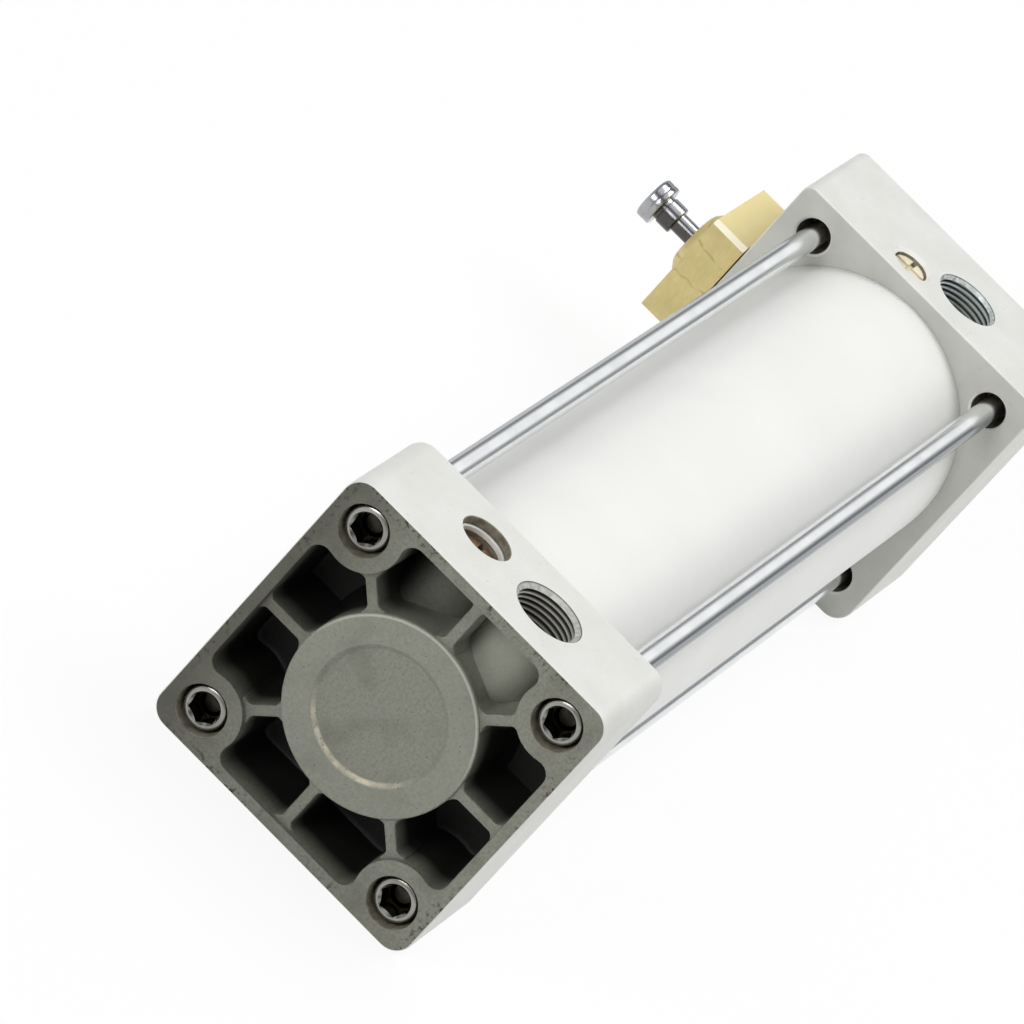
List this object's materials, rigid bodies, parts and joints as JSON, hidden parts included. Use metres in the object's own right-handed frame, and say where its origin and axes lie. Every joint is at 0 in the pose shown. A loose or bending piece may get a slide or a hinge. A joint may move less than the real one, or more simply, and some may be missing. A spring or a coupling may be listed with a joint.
{
  "type": "pneumatic cylinder",
  "caption": "Square tie-rod air cylinder with a webbed cast rear cap, adjustable end cushions, a brass throttle valve and a threaded rod end, shown retracted.",
  "frame": {"origin": "middle of the shallow round recess in the centre boss of the rear cap", "axes": "+X along the rod towards its threaded end, +Z out of the side with the two air ports, +Y towards the brass throttle valve; the cylinder lies on its -Z side"},
  "size_m": [0.3695, 0.1019, 0.075],
  "materials": {
    "cast_aluminium": "die cast and tumbled, olive grey",
    "anodised_tube": "drawn and clear anodised, pale",
    "zinc_plate": "zinc plated, slightly blue",
    "nut_steel": "turned steel, thinly oiled",
    "hard_chrome": "ground and hard chromed",
    "black_rubber": "moulded, matt",
    "bush_bronze": "sintered bronze, matt",
    "brass": "milled and turned, bright",
    "wear_plastic": "moulded, dark",
    "turned_aluminium": "turned, bright",
    "needle_steel": "turned and polished"
  },
  "bodies": {
    "cylinder_body": {"rear_cap": "cast_aluminium", "head_cap": "cast_aluminium", "barrel_tube": "anodised_tube", "tie_rod_1": "zinc_plate", "tie_rod_2": "zinc_plate", "tie_rod_3": "zinc_plate", "tie_rod_4": "zinc_plate", "rear_tie_nut_1": "nut_steel", "rear_tie_nut_2": "nut_steel", "rear_tie_nut_3": "nut_steel", "rear_tie_nut_4": "nut_steel", "head_tie_nut_1": "nut_steel", "head_tie_nut_2": "nut_steel", "head_tie_nut_3": "nut_steel", "head_tie_nut_4": "nut_steel", "rear_barrel_seal": "black_rubber", "head_barrel_seal": "black_rubber", "rear_cushion_seal": "black_rubber", "head_cushion_seal": "black_rubber", "rod_bush": "bush_bronze", "rod_wiper": "black_rubber", "rear_snap_ring": "zinc_plate", "valve_body": "brass", "valve_gland": "brass"},
    "piston_seals": {"rear_piston_seal": "black_rubber", "front_piston_seal": "black_rubber", "piston_wear_ring": "wear_plastic"},
    "piston_and_rod": {"piston": "turned_aluminium", "piston_rod": "hard_chrome", "head_cushion_sleeve": "turned_aluminium", "rear_cushion_plunger": "nut_steel", "rod_nut": "zinc_plate"},
    "rear_cushion_seat": {"rear_cushion_ring": "black_rubber"},
    "rear_cushion_needle": {"rear_cushion_screw": "brass"},
    "head_cushion_seat": {"head_cushion_ring": "black_rubber"},
    "head_cushion_needle": {"head_cushion_screw": "brass"},
    "valve_needle_seat": {"valve_ring": "black_rubber"},
    "valve_needle_turn": {"valve_needle": "needle_steel"}
  },
  "joints": [
    {"name": "rod_slide", "type": "slide", "parent": "cylinder_body", "child": "piston_seals", "axis": [1, 0, 0], "range_m": [0, 0.2]},
    {"name": "rod_turn", "type": "hinge", "parent": "piston_seals", "child": "piston_and_rod", "pos_m": [0, 0, 0], "axis": [1, 0, 0], "continuous": true},
    {"name": "rear_cushion_lift", "type": "slide", "parent": "cylinder_body", "child": "rear_cushion_seat", "axis": [0, 0, 1], "range_m": [-0.00075, 0.00075]},
    {"name": "rear_cushion_turn", "type": "hinge", "parent": "rear_cushion_seat", "child": "rear_cushion_needle", "pos_m": [0.0186, 0.0106, 0.033], "axis": [0, 0, 1], "range_deg": [-361, 361]},
    {"name": "head_cushion_lift", "type": "slide", "parent": "cylinder_body", "child": "head_cushion_seat", "axis": [0, 0, 1], "range_m": [-0.00075, 0.00075]},
    {"name": "head_cushion_turn", "type": "hinge", "parent": "head_cushion_seat", "child": "head_cushion_needle", "pos_m": [0.2727, 0.008, 0.0361], "axis": [0, 0, 1], "range_deg": [-361, 361]},
    {"name": "needle_lift", "type": "slide", "parent": "cylinder_body", "child": "valve_needle_seat", "axis": [0, 1, 0], "range_m": [-0.0015, 0.0015]},
    {"name": "needle_turn", "type": "hinge", "parent": "valve_needle_seat", "child": "valve_needle_turn", "pos_m": [0.279, 0.0378, 0], "axis": [0, 1, 0], "range_deg": [-722, 722]}
  ],
  "couplings": [
    {"joint": "rear_cushion_turn", "follows": "rear_cushion_lift", "rad_per_m": 8377.6},
    {"joint": "head_cushion_turn", "follows": "head_cushion_lift", "rad_per_m": 8377.6},
    {"joint": "needle_turn", "follows": "needle_lift", "rad_per_m": 8377.6}
  ]
}
